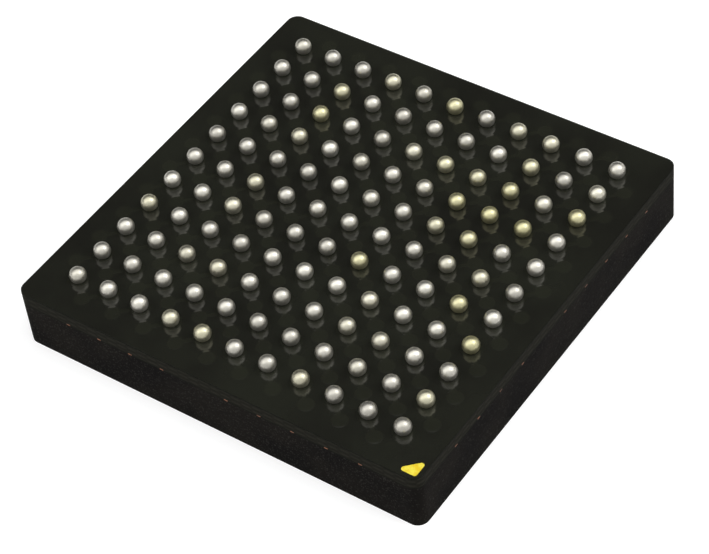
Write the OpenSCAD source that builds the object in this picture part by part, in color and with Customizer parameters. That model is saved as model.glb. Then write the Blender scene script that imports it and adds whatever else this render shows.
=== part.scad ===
// Ball grid array package, lying on its moulded face with the solder balls up.
// Origin: middle of the moulded face. +Z points towards the balls. Millimetres.
// The A1 corner, which the gold mark shows, is at +X, -Y.

/* [Ball grid] */
// Distance between the centres of neighbouring balls
ball_pitch = 0.65; // [0.5:0.01:0.8]
// Diameter of a solder ball
ball_diameter = 0.30; // [0.25:0.01:0.38]
// Diameter of the opening in the solder mask that a ball sits in
ball_opening = 0.225; // [0.18:0.005:0.24]
// Width of the copper land that the mask covers around an opening
land_margin = 0.06; // [0.03:0.01:0.08]
// Distance from the outermost ball centres to the side of the package
edge_margin = 0.75; // [0.7:0.01:1.2]

/* [Mould cap] */
// Thickness of the moulded cap
cap_thickness = 0.90; // [0.7:0.01:1.2]
// Radius of the package's upright corners
corner_radius = 0.20; // [0.1:0.01:0.25]
// Diameter of the index dot cut in the moulded face over the A1 corner
dot_diameter = 0.50; // [0.3:0.05:0.8]
// Depth of the index dot
dot_depth = 0.02; // [0.01:0.005:0.05]

/* [Substrate] */
// Thickness of the glass laminate core
core_thickness = 0.20; // [0.1:0.01:0.4]
// Thickness of each solder mask, measured over the bare laminate
mask_thickness = 0.030; // [0.025:0.001:0.05]
// Thickness of the copper foil on each side
copper_thickness = 0.018; // [0.012:0.001:0.02]
// Width of a trace
trace_width = 0.07; // [0.04:0.005:0.09]
// Diameter of a drilled via hole
via_drill = 0.15; // [0.1:0.005:0.18]
// Thickness of the copper plated on a via hole's wall
via_plating = 0.02; // [0.01:0.002:0.03]
// Width of the copper ring around a via hole
via_ring = 0.055; // [0.03:0.005:0.07]

/* [Corner mark] */
// Length of the two straight sides of the gold mark
mark_leg = 0.36; // [0.25:0.01:0.45]
// Radius of the mark's corners
mark_round = 0.05; // [0.02:0.005:0.07]
// Distance from the mark to the sides of the package
mark_gap = 0.08; // [0.06:0.01:0.12]
// Thickness of the nickel and gold plated on the mark's copper
gold_thickness = 0.005; // [0.003:0.001:0.01]

/* [Die] */
// Side of the square silicon die
die_size = 4.4; // [3.2:0.1:5.4]
// Thickness of the die
die_thickness = 0.20; // [0.1:0.01:0.28]
// Thickness of the adhesive film under the die
film_thickness = 0.020; // [0.01:0.005:0.04]
// Distance from the bond pads' centres to the die's edge
pad_inset = 0.08; // [0.05:0.01:0.15]

/* [Bond wires] */
// Diameter of a bond wire
wire_diameter = 0.025; // [0.018:0.001:0.03]
// Height of a wire's straight neck over the die
neck_height = 0.10; // [0.06:0.01:0.16]
// Length of the shoulder, where the loop turns over from its neck
shoulder = 0.06; // [0.04:0.01:0.10]
// Length of a bond finger
finger_length = 0.30; // [0.2:0.01:0.31]
// Width of a bond finger
finger_width = 0.10; // [0.06:0.005:0.11]

/* [Hidden] */

$fn = 32;
eps = 0.01;

// Eleven rows of eleven balls: the middle row and column have index 0
grid_reach = 5;
body_size = 2 * (grid_reach * ball_pitch + edge_margin);

// Heights of the layers, from the moulded face up
die_mask_z = cap_thickness;
core_z = die_mask_z + mask_thickness;
finger_z = core_z - copper_thickness;
core_top = core_z + core_thickness;
copper_top = core_top + copper_thickness;
mask_top = core_top + mask_thickness;
film_z = die_mask_z - film_thickness;
die_z = film_z - die_thickness;

// A ball is a sphere cut flat where it enters its opening
ball_r = ball_diameter / 2;
opening_r = ball_opening / 2;
ball_z = mask_top + sqrt(ball_r * ball_r - opening_r * opening_r);
land_r = opening_r + land_margin;

// Vias stand half a pitch outside their balls on both axes, so four turned
// quarters fill the grid. Offsets from the middle, in pitches, of one quarter:
via_r = via_drill / 2;
via_pad_r = via_r + via_ring;
ring_step = 0.5;
outer_ring = grid_reach + ring_step;
signal_ring = outer_ring - 1;
plane_ring = signal_ring - 1;
quarter = [
    for (i = [1 : grid_reach]) for (j = [0 : grid_reach])
        if (i + j < 2 * grid_reach) [i, j]
];

// Bond fingers stand in one line per side, between the two outer rings of vias.
// Their places along the side count in pitches, drawn together by the fan.
finger_x = grid_reach * ball_pitch;
fan = 0.85;
outward = [for (j = [-signal_ring : 1 : signal_ring]) if (j != -ring_step) j];
inward = [for (j = [-plane_ring : 1 : signal_ring]) if (j != -ring_step) j];
ground = [-1, -0.5, 0];
function inward_finger(j) = j + 0.5 * sign(j);
function finger_y(place) = place * fan * ball_pitch;
last_place = inward_finger(signal_ring);
fingers = concat(outward, [for (j = inward) inward_finger(j)], ground);
window_gap = 0.03;
window_end = 0.10;

// The die's bond pads fill its sides, up to this distance from the corners
pad_corner_gap = 0.20;
pad_x = die_size / 2 - pad_inset;
function pad_y(place) = place * (die_size / 2 - pad_corner_gap) / last_place;

// The copper plane under the die ties the inner balls together
plane_half = plane_ring * ball_pitch + via_pad_r;
plane_round = 0.15;

wire_r = wire_diameter / 2;
bond_r = 1.3 * wire_diameter;
bond_height = 0.6 * wire_diameter;
knee_r = 1.15 * wire_r;
knee_angle = 55;

module four_sides() {
    for (turn = [0 : 3]) rotate(90 * turn) children();
}

module round_square(size, radius) {
    square([size, size - 2 * radius], center = true);
    square([size - 2 * radius, size], center = true);
    for (x = [-1, 1], y = [-1, 1])
        translate([x, y] * (size / 2 - radius)) circle(radius);
}

// A straight strip between two points, with square ends
module strip(from, to, width) {
    run = to - from;
    translate(from) rotate(atan2(run.y, run.x))
        translate([0, -width / 2]) square([norm(run), width]);
}

module body_slab(z, thickness) {
    translate([0, 0, z]) linear_extrude(thickness) round_square(body_size, corner_radius);
}

// ---- Mould cap ----

// Strip of one side where the mask is open and the mould fills in round the fingers
module finger_window(z, thickness) {
    width = finger_length + 2 * window_gap;
    low = finger_y(-signal_ring) - window_end;
    high = finger_y(last_place) + window_end;
    translate([finger_x - width / 2, low, z]) cube([width, high - low, thickness]);
}

module mould_cap() {
    color("#26241f") difference() {
        union() {
            body_slab(0, cap_thickness);
            four_sides() finger_window(cap_thickness - eps, mask_thickness + eps);
        }
        die_block();
        film_block();
        die_side_foil();
        four_sides() side_wires();
        dot_place = body_size / 2 - edge_margin;
        translate([dot_place, -dot_place, -eps])
            cylinder(d = dot_diameter, h = dot_depth + eps);
    }
}

// ---- Die ----

module die_block() {
    translate([0, 0, die_z + die_thickness / 2])
        cube([die_size, die_size, die_thickness], center = true);
}

module film_block() {
    translate([0, 0, film_z + film_thickness / 2])
        cube([die_size, die_size, film_thickness], center = true);
}

module silicon_die() {
    color("#7d828c") die_block();
}

module die_attach_film() {
    color("#d8d3c2") film_block();
}

// ---- Bond wires ----

// A round rod between two points of the wire's upright plane
module rod(from, to) {
    run = to - from;
    translate(from) rotate([0, atan2(run.x, run.z), 0]) cylinder(r = wire_r, h = norm(run));
}

// One wire, with its ball bond on z = 0 at the origin, a knee on each side of its
// short shoulder, and its far end on the plane z = -drop at x = run
module wire(run, drop) {
    first_knee = [0, 0, neck_height];
    second_knee = first_knee + shoulder * [sin(knee_angle), 0, cos(knee_angle)];
    foot = [run, 0, -drop];
    fall = foot - second_knee;
    difference() {
        union() {
            cylinder(r = bond_r, h = bond_height);
            rod([0, 0, 0], first_knee);
            translate(first_knee) sphere(knee_r);
            rod(first_knee, second_knee);
            translate(second_knee) sphere(knee_r);
            rod(second_knee, foot + fall * wire_diameter / drop);
        }
        translate([run / 2, -wire_diameter, -drop - 4 * wire_diameter])
            cube([run, 2 * wire_diameter, 4 * wire_diameter]);
    }
}

// The wires of one side, from the die's face down and out to the fingers
module side_wires() {
    for (place = fingers) {
        start = [pad_x, pad_y(place)];
        run = [finger_x, finger_y(place)] - start;
        translate([start.x, start.y, die_z]) rotate(atan2(run.y, run.x)) mirror([0, 0, 1])
            wire(norm(run), finger_z - die_z);
    }
}

module bond_wires(turn) {
    color("#d9a441") rotate(90 * turn) side_wires();
}

// ---- Substrate, die side ----

module finger_pad(place) {
    translate([finger_x - finger_length / 2, finger_y(place) - finger_width / 2])
        square([finger_length, finger_width]);
}

module via_pad_at(spot) {
    translate(spot * ball_pitch) circle(via_pad_r);
}

// Fingers, traces and via pads of one side. A trace leaves its finger at the end that
// faces its via. An outward finger's net also has the plating tail that was sawn
// through at the side of the package.
module side_nets() {
    trace_start = (finger_length - trace_width) / 2;
    for (j = outward) {
        via = [outer_ring, j];
        finger_pad(j);
        strip([finger_x + trace_start, finger_y(j)], via * ball_pitch, trace_width);
        via_pad_at(via);
        strip(via * ball_pitch, [body_size / 2, j * ball_pitch], trace_width);
    }
    for (j = inward) {
        place = inward_finger(j);
        via = [signal_ring, j];
        finger_pad(place);
        strip([finger_x - trace_start, finger_y(place)], via * ball_pitch, trace_width);
        via_pad_at(via);
    }
}

// The plane's tab, which takes the ground wires of one side
module ground_tab() {
    low = finger_y(min(ground)) - finger_width / 2;
    high = finger_y(max(ground)) + finger_width / 2;
    translate([0, low]) square([finger_x + finger_length / 2, high - low]);
}

module die_side_foil() {
    translate([0, 0, finger_z]) linear_extrude(copper_thickness) {
        four_sides() side_nets();
        round_square(2 * plane_half, plane_round);
        four_sides() ground_tab();
    }
}

module die_side_copper() {
    color("#b8693a") die_side_foil();
}

module die_side_mask() {
    color("#1d2a1c") difference() {
        body_slab(die_mask_z, mask_thickness);
        four_sides() finger_window(die_mask_z - eps, mask_thickness + 2 * eps);
        die_side_foil();
    }
}

// ---- Substrate, core and vias ----

module at_vias() {
    four_sides() for (ball = quarter)
        translate([ball.x + ring_step, ball.y + ring_step] * ball_pitch) children();
    translate([ring_step, ring_step] * ball_pitch) children();
}

module laminate_core() {
    color("#6f6a3e") difference() {
        body_slab(core_z, core_thickness);
        translate([0, 0, core_z - eps]) at_vias()
            cylinder(r = via_r, h = core_thickness + 2 * eps);
    }
}

module via_barrels() {
    color("#b8693a") translate([0, 0, core_z]) at_vias() difference() {
        cylinder(r = via_r, h = core_thickness);
        translate([0, 0, -eps]) cylinder(r = via_r - via_plating, h = core_thickness + 2 * eps);
    }
}

module via_plugs() {
    color("#4d5a35") translate([0, 0, core_z]) at_vias()
        cylinder(r = via_r - via_plating, h = core_thickness);
}

// ---- Substrate, ball side ----

// A ball's land, the trace to its via and the via's pad
module land_net(ball) {
    via = ball + [ring_step, ring_step];
    translate(ball * ball_pitch) circle(land_r);
    strip(ball * ball_pitch, via * ball_pitch, trace_width);
    via_pad_at(via);
}

module ball_side_foil() {
    translate([0, 0, core_top]) linear_extrude(copper_thickness) {
        four_sides() {
            for (ball = quarter) land_net(ball);
            translate([grid_reach, grid_reach] * ball_pitch) circle(land_r);
        }
        land_net([0, 0]);
    }
}

module ball_side_copper() {
    color("#b8693a") ball_side_foil();
}

module ball_side_mask() {
    color("#20231c") difference() {
        body_slab(core_top, mask_thickness);
        ball_side_foil();
        for (x = [-grid_reach : grid_reach], y = [-grid_reach : grid_reach])
            translate([x * ball_pitch, y * ball_pitch, core_top])
                cylinder(r = opening_r, h = mask_thickness + eps);
        mark_plate(0, mask_thickness + eps);
        mark_plate(land_margin / 2, copper_thickness);
    }
}

// ---- Corner mark ----

// A right-angled triangle with round corners in the A1 corner, its outline moved
// out by grow
module mark_outline(grow) {
    radius = mark_round + grow;
    inner = mark_leg - mark_round * (2 + sqrt(2));
    corner = (body_size / 2 - mark_gap - mark_round) * [1, -1];
    tips = [corner, corner + [0, inner], corner - [inner, 0]];
    polygon([
        tips[0] + [0, -radius], tips[0] + [radius, 0],
        tips[1] + [radius, 0], tips[1] + [-radius, radius] / sqrt(2),
        tips[2] + [-radius, radius] / sqrt(2), tips[2] + [0, -radius]
    ]);
    for (tip = tips) translate(tip) circle(radius);
}

module mark_plate(grow, thickness) {
    translate([0, 0, core_top]) linear_extrude(thickness) mark_outline(grow);
}

// The copper reaches under the mask; the plating fills the opening over it
module pin_one_mark() {
    color("#f2c94c") {
        mark_plate(land_margin / 2, copper_thickness);
        mark_plate(0, copper_thickness + gold_thickness);
    }
}

// ---- Solder balls ----

module solder_ball() {
    difference() {
        translate([0, 0, ball_z]) sphere(ball_r);
        translate([0, 0, mask_top - ball_r]) cube(2 * ball_r, center = true);
    }
    translate([0, 0, copper_top]) cylinder(r = opening_r, h = mask_top - copper_top);
}

// Row A is the one by the +X side, and each further row stands one pitch towards -X
module ball_row(step) {
    color("#c9c7bf") for (j = [-grid_reach : grid_reach])
        translate([grid_reach - step, j, 0] * ball_pitch) solder_ball();
}

mould_cap();
silicon_die();
die_attach_film();
bond_wires(0);  // bond_wires_east
bond_wires(1);  // bond_wires_north
bond_wires(2);  // bond_wires_west
bond_wires(3);  // bond_wires_south
die_side_mask();
die_side_copper();
laminate_core();
via_barrels();
via_plugs();
ball_side_copper();
ball_side_mask();
pin_one_mark();
ball_row(0);  // solder_balls_row_a
ball_row(1);  // solder_balls_row_b
ball_row(2);  // solder_balls_row_c
ball_row(3);  // solder_balls_row_d
ball_row(4);  // solder_balls_row_e
ball_row(5);  // solder_balls_row_f
ball_row(6);  // solder_balls_row_g
ball_row(7);  // solder_balls_row_h
ball_row(8);  // solder_balls_row_j
ball_row(9);  // solder_balls_row_k
ball_row(10);  // solder_balls_row_l
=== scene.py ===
import math

import bmesh
import bpy
from mathutils import Matrix, Vector


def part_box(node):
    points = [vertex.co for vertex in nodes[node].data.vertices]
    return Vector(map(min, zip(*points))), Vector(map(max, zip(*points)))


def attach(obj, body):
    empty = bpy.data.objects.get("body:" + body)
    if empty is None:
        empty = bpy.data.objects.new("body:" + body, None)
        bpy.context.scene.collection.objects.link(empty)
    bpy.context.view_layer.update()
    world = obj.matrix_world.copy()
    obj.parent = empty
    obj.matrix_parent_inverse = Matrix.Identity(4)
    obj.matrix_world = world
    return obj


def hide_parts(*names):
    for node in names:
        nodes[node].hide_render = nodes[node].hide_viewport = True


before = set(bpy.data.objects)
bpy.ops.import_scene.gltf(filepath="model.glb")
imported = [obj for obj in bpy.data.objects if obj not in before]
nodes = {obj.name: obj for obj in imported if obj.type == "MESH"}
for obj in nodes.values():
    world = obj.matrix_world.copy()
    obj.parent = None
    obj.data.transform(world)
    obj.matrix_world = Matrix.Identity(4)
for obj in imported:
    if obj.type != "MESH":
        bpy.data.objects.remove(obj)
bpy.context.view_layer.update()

mm = 0.001

# ---- Mould cap ----
# Black epoxy filled with round silica grains, pressed over the die in one sheet with its
# neighbours and then sawn out. The pressed face is finely grained; the saw leaves shallow
# arcs on the four sides and cuts grains through, which show as grey specks.


def srgb(red, green, blue):
    """Linear colour of an 8-bit display colour."""
    def linear(value):
        share = value / 255
        return share / 12.92 if share <= 0.04045 else ((share + 0.055) / 1.055) ** 2.4
    return (linear(red), linear(green), linear(blue), 1)


class Graph:
    """Adds nodes to one tree; an input is a plain value or another node's output."""

    def __init__(self, tree):
        self.tree = tree

    def add(self, kind, settings=None, **inputs):
        node = self.tree.nodes.new(kind)
        for name, value in (settings or {}).items():
            setattr(node, name, value)
        for name, value in inputs.items():
            self.feed(node, name.replace("_", " "), value)
        return node

    def feed(self, node, name, value):
        key = int(name) if name.isdigit() else name
        socket = node.inputs[key]
        if isinstance(value, bpy.types.NodeSocket):
            self.tree.links.new(value, socket)
        else:
            socket.default_value = value

    def math(self, operation, *values):
        node = self.tree.nodes.new("ShaderNodeMath")
        node.operation = operation
        for number, value in enumerate(values):
            self.feed(node, str(number), value)
        return node.outputs[0]

    def vector(self, operation, first, second):
        """Outputs of a vector operation on a node's output and a plain vector."""
        node = self.add("ShaderNodeVectorMath", {"operation": operation})
        self.feed(node, "0", first)
        self.feed(node, "1", second)
        return node.outputs

    def noise(self, vector, scale, detail=2.0, roughness=0.5):
        """Noise from 0 to 1. On a place, scale counts its waves to the metre."""
        node = self.add("ShaderNodeTexNoise", Vector=vector, Scale=scale, Detail=detail,
                        Roughness=roughness)
        return node.outputs["Fac"]

    def between(self, value, low, high, start=0.0, end=1.0):
        """Value mapped smoothly from low..high to start..end."""
        node = self.tree.nodes.new("ShaderNodeMapRange")
        node.interpolation_type = "SMOOTHSTEP"
        for number, given in enumerate((value, low, high, start, end)):
            self.feed(node, str(number), given)
        return node.outputs[0]

    def blend(self, share, first, second):
        """Colour between first (share 0) and second (share 1)."""
        node = self.tree.nodes.new("ShaderNodeMix")
        node.data_type = "RGBA"
        for number, given in ((0, share), (6, first), (7, second)):
            self.feed(node, str(number), given)
        return node.outputs[2]

    def bump(self, height, distance, strength=1.0, normal=None):
        node = self.add("ShaderNodeBump", Height=height, Distance=distance, Strength=strength)
        if normal is not None:
            self.feed(node, "Normal", normal)
        return node.outputs[0]

    def group(self, tree, **inputs):
        return self.add("ShaderNodeGroup", {"node_tree": tree}, **inputs).outputs


def new_group(name, inputs, outputs):
    """Empty shader group with float or vector sockets, its graph and its input sockets."""
    tree = bpy.data.node_groups.new(name, "ShaderNodeTree")
    for side, sockets in (("INPUT", inputs), ("OUTPUT", outputs)):
        for socket, kind in sockets:
            tree.interface.new_socket(socket, in_out=side, socket_type=f"NodeSocket{kind}")
    given = tree.nodes.new("NodeGroupInput").outputs
    result = tree.nodes.new("NodeGroupOutput").inputs
    return tree, Graph(tree), given, result


def new_material(name, roughness, metallic=0.0, ior=1.5, colour=(0.5, 0.5, 0.5, 1)):
    """Material with one Principled shader; returns it, its graph and the shader."""
    material = bpy.data.materials.new(name)
    material.use_nodes = True
    graph = Graph(material.node_tree)
    shader = material.node_tree.nodes["Principled BSDF"]
    shader.inputs["Base Color"].default_value = colour
    shader.inputs["Roughness"].default_value = roughness
    shader.inputs["Metallic"].default_value = metallic
    shader.inputs["IOR"].default_value = ior
    return material, graph, shader


def place_in(graph):
    """Object coordinates, which are the frame's own metres."""
    return graph.add("ShaderNodeTexCoord").outputs["Object"]


def sideways_in(graph):
    """How far a face looks sideways: 0 up or down, 1 at the sides."""
    normal = graph.add("ShaderNodeTexCoord").outputs["Normal"]
    axes = graph.add("ShaderNodeSeparateXYZ", Vector=normal).outputs
    return graph.between(graph.math("ABSOLUTE", axes["Z"]), 0.3, 0.8, 1, 0)


def sawn_relief(graph, place, strength, normal=None):
    """Normal of a wall cut by the dicing blade, and the lines it leaves."""
    lines = graph.group(saw_marks, Vector=place)["Height"]
    return graph.bump(lines, saw_depth, strength, normal), lines


def paint(node_name, material):
    """A CAD node keeps its shape and takes this material."""
    mesh = nodes[node_name].data
    mesh.materials.clear()
    mesh.materials.append(material)


blade_radius, blade_below = 28 * mm, 0.1 * mm
saw_line, saw_depth = 0.05 * mm, 0.004 * mm
sawn_gloss = 0.05

# Arcs that a dicing blade leaves on a cut wall. Height is 0..1 across fine parallel lines.
saw_marks, graph, given, result = new_group(
    "saw_marks", [("Vector", "Vector")], [("Height", "Float")])
axes = graph.add("ShaderNodeSeparateXYZ", Vector=given["Vector"]).outputs
along = graph.math("ADD", axes["X"], axes["Y"])
depth = graph.math("MAXIMUM", graph.math("ADD", axes["Z"], blade_below), 0)
arc = graph.math("SQRT", graph.math("MULTIPLY", depth, 2 * blade_radius))
across = graph.math("DIVIDE", graph.math("SUBTRACT", along, arc), saw_line)
upward = graph.math("MULTIPLY", axes["Z"], 0.5 / mm)
spot = graph.add("ShaderNodeCombineXYZ", X=across, Y=upward, Z=0.0).outputs[0]
graph.tree.links.new(graph.noise(spot, 1.0, 3.0, 0.6), result["Height"])

# Round grains cut through by the saw or lying under a thin skin. Mask is 1 inside a grain.
grains, graph, given, result = new_group(
    "grains", [("Vector", "Vector"), ("Size", "Float"), ("Share", "Float")],
    [("Mask", "Float"), ("Shade", "Float")])
scale = graph.math("DIVIDE", 1.0, given["Size"])
cells = graph.add("ShaderNodeTexVoronoi", Vector=given["Vector"], Scale=scale)
grey = graph.add("ShaderNodeSeparateColor", Color=cells.outputs["Color"]).outputs
smallest, largest, soft = 0.12, 0.42, 0.04
edge = graph.between(grey["Green"], 0, 1, smallest, largest)
edge = graph.math("MULTIPLY", edge, given["Share"])
inside = graph.between(graph.math("SUBTRACT", cells.outputs["Distance"], edge), -soft, soft, 1, 0)
graph.tree.links.new(inside, result["Mask"])
graph.tree.links.new(grey["Red"], result["Shade"])

mould_compound, graph, shader = new_material("mould_compound", 0.65, ior=1.2)
shader.inputs["Specular IOR Level"].default_value = sawn_gloss
place = place_in(graph)
sideways = sideways_in(graph)
skin = graph.blend(graph.noise(place, 9000, 3, 0.6), srgb(31, 30, 28), srgb(38, 36, 33))
clouds = graph.between(graph.noise(place, 900, 2), 0.35, 0.65, 0, 1)
sawn = graph.blend(clouds, srgb(20, 19, 18), srgb(30, 28, 25))
fine_grain, coarse_grain = 0.035 * mm, 0.09 * mm
fine = graph.group(grains, Vector=place, Size=fine_grain, Share=1.0)
coarse = graph.group(grains, Vector=place, Size=coarse_grain, Share=0.8)
grain_colour = graph.blend(fine["Shade"], srgb(32, 31, 30), srgb(68, 66, 62))
sawn = graph.blend(graph.math("MULTIPLY", fine["Mask"], 0.45), sawn, grain_colour)
sawn = graph.blend(graph.math("MULTIPLY", coarse["Mask"], 0.30), sawn, grain_colour)
grain_relief = graph.bump(graph.noise(place, 32000, 3, 0.6), 0.004 * mm, 0.6)
cut_strength = graph.math("MULTIPLY", sideways, 0.7)
relief, lines = sawn_relief(graph, place, cut_strength, grain_relief)
sawn = graph.blend(graph.between(lines, 0.35, 0.7, 0, 0.5), sawn, srgb(18, 17, 17))
graph.feed(shader, "Base Color", graph.blend(sideways, skin, sawn))
graph.feed(shader, "Roughness", graph.math(
    "ADD", 0.56, graph.math("MULTIPLY", graph.noise(place, 14000, 2), 0.16)))
graph.feed(shader, "Normal", relief)
paint("mould_cap", mould_compound)

# ---- Die, die attach film and bond wires ----
# Inside the cap: a silicon die on its adhesive film, and gold wires from the die's pads to
# the fingers of the substrate. The cap hides them all.

silicon, graph, shader = new_material("silicon", 0.25, metallic=0.6)
place = place_in(graph)
ground = graph.noise(place, 4000, 4, 0.7)
graph.feed(shader, "Base Color", graph.blend(ground, srgb(104, 108, 116), srgb(138, 142, 150)))
paint("silicon_die", silicon)

die_film, graph, shader = new_material("die_film", 0.55)
place = place_in(graph)
graph.feed(shader, "Base Color", graph.blend(
    graph.noise(place, 20000, 2), srgb(205, 200, 184), srgb(226, 221, 206)))
paint("die_attach_film", die_film)

gold_wire, graph, shader = new_material("gold_wire", 0.22, metallic=1.0)
place = place_in(graph)
graph.feed(shader, "Base Color", graph.blend(
    graph.noise(place, 30000, 2), srgb(232, 186, 90), srgb(247, 205, 112)))
for side in ("east", "north", "west", "south"):
    paint(f"bond_wires_{side}", gold_wire)

# ---- Laminate core and vias ----
# Woven glass in brown-green resin. Its sawn edge shows the cut bundles as pale dashes
# between the two masks. The drilled vias are plated with copper and plugged with resin.

laminate, graph, shader = new_material("laminate", 0.6, ior=1.2)
shader.inputs["Specular IOR Level"].default_value = sawn_gloss
place = place_in(graph)
bundle_pitch, layer_pitch = 0.42 * mm, 0.1 * mm
axes = graph.add("ShaderNodeSeparateXYZ", Vector=place).outputs
along = graph.math("ADD", axes["X"], axes["Y"])
bundle = graph.math("SINE", graph.math("MULTIPLY", along, 2 * math.pi / bundle_pitch))
layer = graph.math("SINE", graph.math("MULTIPLY", axes["Z"], 2 * math.pi / layer_pitch))
weave = graph.between(graph.math("MULTIPLY", bundle, layer), -0.2, 0.6, 0, 1)
flattened = graph.vector("MULTIPLY", place, (1, 1, 5))[0]
fibres = graph.noise(flattened, 16000, 3, 0.6)
resin = graph.blend(fibres, srgb(27, 27, 23), srgb(36, 35, 30))
glass = graph.blend(fibres, srgb(36, 36, 31), srgb(52, 51, 44))
graph.feed(shader, "Base Color", graph.blend(graph.math("MULTIPLY", weave, 0.7), resin, glass))
cut_strength = graph.math("MULTIPLY", sideways_in(graph), 0.6)
graph.feed(shader, "Normal", sawn_relief(graph, place, cut_strength)[0])
paint("laminate_core", laminate)

copper, graph, shader = new_material("copper", 0.5, metallic=1.0)
place = place_in(graph)
tarnish = graph.between(graph.noise(place, 12000, 3), 0.35, 0.7, 0, 1)
graph.feed(shader, "Base Color", graph.blend(tarnish, srgb(150, 100, 74), srgb(92, 64, 50)))
for name in ("via_barrels", "die_side_copper", "ball_side_copper"):
    paint(name, copper)

plug_resin, graph, shader = new_material("plug_resin", 0.5)
place = place_in(graph)
graph.feed(shader, "Base Color", graph.blend(
    graph.noise(place, 30000, 2), srgb(70, 82, 50), srgb(86, 100, 62)))
paint("via_plugs", plug_resin)

# ---- Solder masks ----
# Black-green lacquer on both sides of the substrate, glossy enough to mirror the balls. It
# lies a little higher and looks a little lighter over the copper that it covers.

rows = "abcdefghjkl"
ball_low, ball_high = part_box("solder_balls_row_a")
pitch = (ball_low.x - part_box("solder_balls_row_l")[0].x) / (len(rows) - 1)
land_radius, via_pad_radius, trace_width = 0.1725 * mm, 0.13 * mm, 0.07 * mm

# The ball side's copper: a round land under each ball, and a trace from it to a via half a
# pitch away on both axes, outward, in four turned quarters. The four corner balls have no
# via. Height is 1 over the copper.
copper_below, graph, given, result = new_group(
    "copper_below", [("Vector", "Vector")], [("Height", "Float")])
axes = graph.add("ShaderNodeSeparateXYZ", Vector=given["Vector"]).outputs
x = graph.math("DIVIDE", axes["X"], pitch)
y = graph.math("DIVIDE", axes["Y"], pitch)
last = (len(rows) - 1) / 2
ball_x = graph.math("MINIMUM", graph.math("MAXIMUM", graph.math("ROUND", x), -last), last)
ball_y = graph.math("MINIMUM", graph.math("MAXIMUM", graph.math("ROUND", y), -last), last)
beside_x = graph.math("SUBTRACT", x, ball_x)
beside_y = graph.math("SUBTRACT", y, ball_y)
# Each axis goes by its own sign. On a middle row, where that is 0, the other axis decides.
turn_x = graph.math("SIGN", graph.math("ADD", graph.math(
    "SUBTRACT", graph.math("MULTIPLY", ball_x, 10), ball_y), 0.5))
turn_y = graph.math("SIGN", graph.math("ADD", graph.math(
    "ADD", graph.math("MULTIPLY", ball_y, 10), ball_x), 0.5))
along_x = graph.math("MULTIPLY", beside_x, turn_x)
along_y = graph.math("MULTIPLY", beside_y, turn_y)
off_trace = graph.math("ABSOLUTE", graph.math("SUBTRACT", along_x, along_y))
off_trace = graph.math("SUBTRACT", graph.math("MULTIPLY", off_trace, math.sqrt(0.5)),
                       trace_width / 2 / pitch)
behind = graph.math("MULTIPLY", graph.math("ADD", along_x, along_y), -1)
off_trace = graph.math("MAXIMUM", off_trace, behind)
from_ball = graph.math("SQRT", graph.math("ADD", graph.math(
    "MULTIPLY", beside_x, beside_x), graph.math("MULTIPLY", beside_y, beside_y)))
off_land = graph.math("SUBTRACT", from_ball, land_radius / pitch)
via_x = graph.math("SUBTRACT", 0.5, graph.math("ABSOLUTE", beside_x))
via_y = graph.math("SUBTRACT", 0.5, graph.math("ABSOLUTE", beside_y))
from_via = graph.math("SQRT", graph.math("ADD", graph.math(
    "MULTIPLY", via_x, via_x), graph.math("MULTIPLY", via_y, via_y)))
off_via = graph.math("SUBTRACT", from_via, via_pad_radius / pitch)
cornerward = graph.math("ADD", graph.math("ABSOLUTE", x), graph.math("ABSOLUTE", y))
corner_cut = 2 * last + 0.45
past_last_via = graph.math("SUBTRACT", cornerward, corner_cut)
off_route = graph.math("MAXIMUM", graph.math("MINIMUM", off_trace, off_via), past_last_via)
off_copper = graph.math("MINIMUM", off_route, off_land)
graph.tree.links.new(graph.between(off_copper, -0.03, 0.06, 1, 0), result["Height"])

solder_mask, graph, shader = new_material("solder_mask", 0.12, ior=1.42)
place = place_in(graph)
clouds = graph.between(graph.noise(place, 700, 3, 0.55), 0.3, 0.7, 0, 1)
lacquer = graph.blend(clouds, srgb(26, 26, 22), srgb(32, 33, 27))
over_copper = graph.group(copper_below, Vector=place)["Height"]
graph.feed(shader, "Base Color", graph.blend(
    graph.math("MULTIPLY", over_copper, 0.18), lacquer, srgb(48, 50, 38)))
graph.feed(shader, "Roughness", graph.math(
    "ADD", 0.09, graph.math("MULTIPLY", graph.noise(place, 5000, 3), 0.08)))
step_relief = graph.bump(over_copper, 0.0025 * mm)
graph.feed(shader, "Normal", graph.bump(
    graph.noise(place, 9000, 2), 0.002 * mm, 0.25, step_relief))

cut_mask, graph, shader = new_material("cut_mask", 0.6, ior=1.2)
shader.inputs["Specular IOR Level"].default_value = sawn_gloss
place = place_in(graph)
graph.feed(shader, "Base Color", graph.blend(
    graph.noise(place, 15000, 3), srgb(19, 20, 17), srgb(30, 31, 26)))
graph.feed(shader, "Normal", sawn_relief(graph, place, 0.6)[0])

edge_band = 0.3 * mm
for name in ("die_side_mask", "ball_side_mask"):
    paint(name, solder_mask)
    mesh = nodes[name].data
    mesh.materials.append(cut_mask)
    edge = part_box(name)[1].x - edge_band
    for face in mesh.polygons:
        outside = max(abs(face.center.x), abs(face.center.y)) > edge
        if outside and abs(face.normal.z) < 0.5:
            face.material_index = 1

# ---- Pin one mark ----
# A copper corner in the mask's own window, plated with nickel and a flash of gold. It shows
# which corner ball A1 is in. The plating is grainy and a bright yellow.

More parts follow.
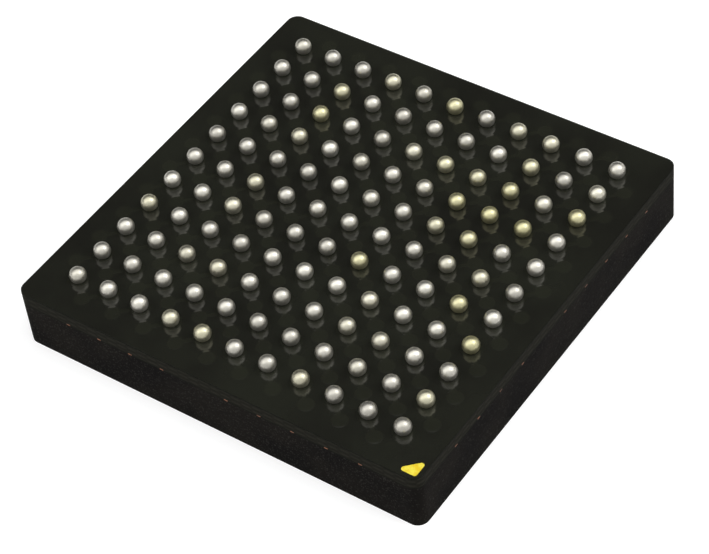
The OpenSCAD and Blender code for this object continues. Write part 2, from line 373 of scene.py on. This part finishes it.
mark_gold, graph, shader = new_material("mark_gold", 0.45, metallic=0.35)
place = place_in(graph)
grain = graph.noise(place, 45000, 3, 0.6)
gold = graph.blend(graph.between(graph.noise(place, 9000, 2), 0.35, 0.65, 0, 1),
                   srgb(247, 214, 40), srgb(255, 240, 84))
graph.feed(shader, "Base Color", graph.blend(
    graph.between(grain, 0.5, 0.75, 0, 0.5), gold, srgb(226, 176, 30)))
graph.feed(shader, "Roughness", graph.math("ADD", 0.35, graph.math("MULTIPLY", grain, 0.2)))
graph.feed(shader, "Normal", graph.bump(grain, 0.003 * mm, 0.5))
paint("pin_one_mark", mark_gold)

# ---- Solder balls ----
# One reflowed tin-silver-copper ball for each land, wetted into its opening in the mask.
# The skin is satin, a little wrinkled by the freezing grains, and each ball has its own tint. On top
# of that, a painted warm light makes the balls warmer towards the +X +Y corner, on the right lamp's
# side.

mask_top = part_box("ball_side_mask")[1].z
seat = ball_low.z
ball_radius = (ball_high.x - ball_low.x) / 2
ball_centre = ball_high.z - ball_radius
neck = math.sqrt(ball_radius ** 2 - (ball_centre - mask_top) ** 2)

solder, graph, shader = new_material("solder", 0.28, metallic=1.0)
place = place_in(graph)
# The random colour is the same all over one ball, because it goes by the ball's grid cell.
cell_scale = 3.7 / pitch
shifted = graph.vector("ADD", place, (pitch / 2, pitch / 2, 0))[0]
cell = graph.vector("SNAP", shifted, (pitch, pitch, 1))[0]
scaled = graph.add("ShaderNodeVectorMath", {"operation": "SCALE"}, Vector=cell, Scale=cell_scale)
own = graph.add("ShaderNodeTexWhiteNoise", {"noise_dimensions": "3D"}, Vector=scaled.outputs[0])
tint = graph.add("ShaderNodeSeparateColor", Color=own.outputs["Color"]).outputs
base = graph.blend(tint["Red"], srgb(190, 187, 177), srgb(220, 217, 206))
spot = graph.add("ShaderNodeSeparateXYZ", Vector=place).outputs
# Painted warm light: the tint grows warmer towards the +X +Y corner, the side of the right lamp.
warm_light_lean_per_pitch = 0.03
warm_light_lean = graph.math("MULTIPLY", graph.math("ADD", spot["X"], spot["Y"]), warm_light_lean_per_pitch / pitch)
# The warm share is each ball's own random warmth plus the painted warm light.
warm_tint_and_light = graph.between(graph.math("ADD", tint["Green"], warm_light_lean), 0.45, 1.15, 0, 1)
base = graph.blend(warm_tint_and_light, base, srgb(208, 203, 160))
crystals = graph.noise(place, 26000, 3, 0.6)
base = graph.blend(graph.between(crystals, 0.55, 0.8, 0, 0.35), base, srgb(150, 148, 142))
graph.feed(shader, "Base Color", base)
graph.feed(shader, "Roughness", graph.math(
    "ADD", 0.30, graph.math("MULTIPLY", graph.noise(place, 30000, 2), 0.18)))
graph.feed(shader, "Normal", graph.bump(crystals, 0.003 * mm, 0.35))

around, up = 48, 22
start_angle = math.asin((mask_top - ball_centre) / ball_radius)
profile = [(neck, seat)]
for step in range(up):
    angle = start_angle + (math.pi / 2 - start_angle) * step / up
    profile.append((ball_radius * math.cos(angle), ball_centre + ball_radius * math.sin(angle)))


def add_ball(mesh, x, y):
    """One ball as a surface of revolution, closed at its top and at its seat."""
    rings = []
    for radius, height in profile:
        rings.append([mesh.verts.new((
            x + radius * math.cos(turn), y + radius * math.sin(turn), height))
            for turn in (2 * math.pi * k / around for k in range(around))])
    crown = mesh.verts.new((x, y, ball_centre + ball_radius))
    mesh.faces.new(list(reversed(rings[0])))
    for lower, upper in zip(rings, rings[1:]):
        for k in range(around):
            after = (k + 1) % around
            mesh.faces.new((lower[k], lower[after], upper[after], upper[k]))
    for k in range(around):
        mesh.faces.new((rings[-1][k], rings[-1][(k + 1) % around], crown))


for number, row in enumerate(rows):
    mesh = bmesh.new()
    for column in range(len(rows)):
        add_ball(mesh, (last - number) * pitch, (column - last) * pitch)
    data = bpy.data.meshes.new(f"balls_of_row_{row}")
    mesh.to_mesh(data)
    mesh.free()
    data.shade_smooth()
    data.materials.append(solder)
    balls = bpy.data.objects.new(f"balls_of_row_{row}", data)
    bpy.context.scene.collection.objects.link(balls)
    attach(balls, "root")
    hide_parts(f"solder_balls_row_{row}")

# ---- Floor ----
# A white table that curves up far behind the part on every side. It glows to the camera and
# in reflections, so that it stays white, but it lights nothing.

floor_paint, graph, shader = new_material("floor_paint", 0.9, ior=1.0, colour=(0.65, 0.65, 0.65, 1))
rays = graph.add("ShaderNodeLightPath").outputs
seen = graph.math("MAXIMUM", rays["Is Camera Ray"], rays["Is Glossy Ray"])
seen = graph.math("MAXIMUM", seen, rays["Is Transmission Ray"])
away = graph.add("ShaderNodeVectorMath", {"operation": "LENGTH"}, Vector=place_in(graph))
lift = graph.between(away.outputs["Value"], 0.06, 0.2, 0.5, 0.15)
shader.inputs["Emission Color"].default_value = (1, 1, 1, 1)
graph.feed(shader, "Emission Strength", graph.math("MULTIPLY", seen, lift))

flat, reach, wall = 0.33, 0.36, 0.045
curve_steps, floor_sides = 12, 96
profile = [(0.05, 0.0), (0.15, 0.0), (flat, 0.0)]
for step in range(1, curve_steps + 1):
    turn = math.pi / 2 * step / curve_steps
    profile.append((flat + (reach - flat) * math.sin(turn), (reach - flat) * (1 - math.cos(turn))))
profile.append((reach, wall))
mesh = bmesh.new()
rings = []
for radius, height in profile:
    rings.append([mesh.verts.new((radius * math.cos(turn), radius * math.sin(turn), height))
                  for turn in (2 * math.pi * k / floor_sides for k in range(floor_sides))])
middle = mesh.verts.new((0, 0, 0))
for k in range(floor_sides):
    mesh.faces.new((middle, rings[0][k], rings[0][(k + 1) % floor_sides]))
for lower, upper in zip(rings, rings[1:]):
    for k in range(floor_sides):
        after = (k + 1) % floor_sides
        mesh.faces.new((lower[k], upper[k], upper[after], lower[after]))
data = bpy.data.meshes.new("floor")
mesh.to_mesh(data)
mesh.free()
data.shade_smooth()
data.materials.append(floor_paint)
floor = bpy.data.objects.new("floor", data)
bpy.context.scene.collection.objects.link(floor)

# ---- Light and camera ----
# A broad soft light overhead and a smaller one on each side. The sky is brighter above and on
# the viewer's side. The camera looks down at the corner between the +X and -Y sides.

near = Vector((0.640, -0.768, 0))
right = Vector((0.768, 0.640, 0))
world = bpy.data.worlds.new("studio")
bpy.context.scene.world = world
world.use_nodes = True
graph = Graph(world.node_tree)
sky = world.node_tree.nodes["Background"]
direction = graph.add("ShaderNodeTexCoord").outputs["Generated"]
height = graph.add("ShaderNodeSeparateXYZ", Vector=direction).outputs["Z"]
sky_front = (0.807, -0.590, 0)
towards = graph.vector("DOT_PRODUCT", direction, sky_front)["Value"]
front = graph.between(towards, -0.52, 0.05, 0, 1)
raised = graph.between(height, -0.33, 0.41, 0, 1)
share = graph.math("MULTIPLY", front, raised)
dimmest, rise = 0.035, 0.82
sky.inputs["Color"].default_value = (1, 1, 1, 1)
graph.feed(sky, "Strength", graph.math("ADD", dimmest, graph.math("MULTIPLY", share, rise)))


def add_light(name, azimuth, elevation, spin, distance, size, radiance):
    """Rectangular light that looks at the part. Azimuth counts from the viewer to the right."""
    azimuth, elevation, spin = (math.radians(angle) for angle in (azimuth, elevation, spin))
    level = near * math.cos(azimuth) + right * math.sin(azimuth)
    way = level * math.cos(elevation) + Vector((0, 0, math.sin(elevation)))
    across = (right - way * right.dot(way)).normalized()
    across = across * math.cos(spin) + way.cross(across) * math.sin(spin)
    lamp = bpy.data.lights.new(name, "AREA")
    lamp.shape = "RECTANGLE"
    lamp.size, lamp.size_y = size
    lamp.energy = radiance * math.pi * size[0] * size[1]
    light = bpy.data.objects.new(name, lamp)
    bpy.context.scene.collection.objects.link(light)
    light.rotation_mode = "QUATERNION"
    light.rotation_quaternion = Matrix((across, way.cross(across), way)).transposed().to_quaternion()
    light.location = way * distance
    light.visible_camera = False


add_light("overhead", -81, 85, 0, 0.16, (0.59, 0.20), 0.93)
add_light("right", 81, 53, 0, 0.25, (0.13, 0.13), 2.15)
add_light("left", -72, 33, 0, 0.25, (0.16, 0.16), 0.40)

camera_azimuth, camera_elevation, camera_roll = 39.81, 46.20, -7.31
aim = Vector((0.447, -0.585, 0.70)) * mm
distance = 42.14 * mm
azimuth = math.radians(camera_azimuth)
elevation = math.radians(camera_elevation)
back = Vector((math.sin(azimuth) * math.cos(elevation),
               -math.cos(azimuth) * math.cos(elevation), math.sin(elevation)))
lens = bpy.data.cameras.new("camera")
lens.sensor_width = 36
lens.lens = 128.42
lens.clip_start = 1 * mm
lens.clip_end = 10
camera = bpy.data.objects.new("camera", lens)
bpy.context.scene.collection.objects.link(camera)
camera.location = aim + back * distance
facing = (-back).to_track_quat("-Z", "Y").to_matrix()
roll = Matrix.Rotation(math.radians(camera_roll), 3, "Z")
camera.rotation_mode = "QUATERNION"
camera.rotation_quaternion = (facing @ roll).to_quaternion()
bpy.context.scene.camera = camera
bpy.context.scene.view_settings.view_transform = "Standard"
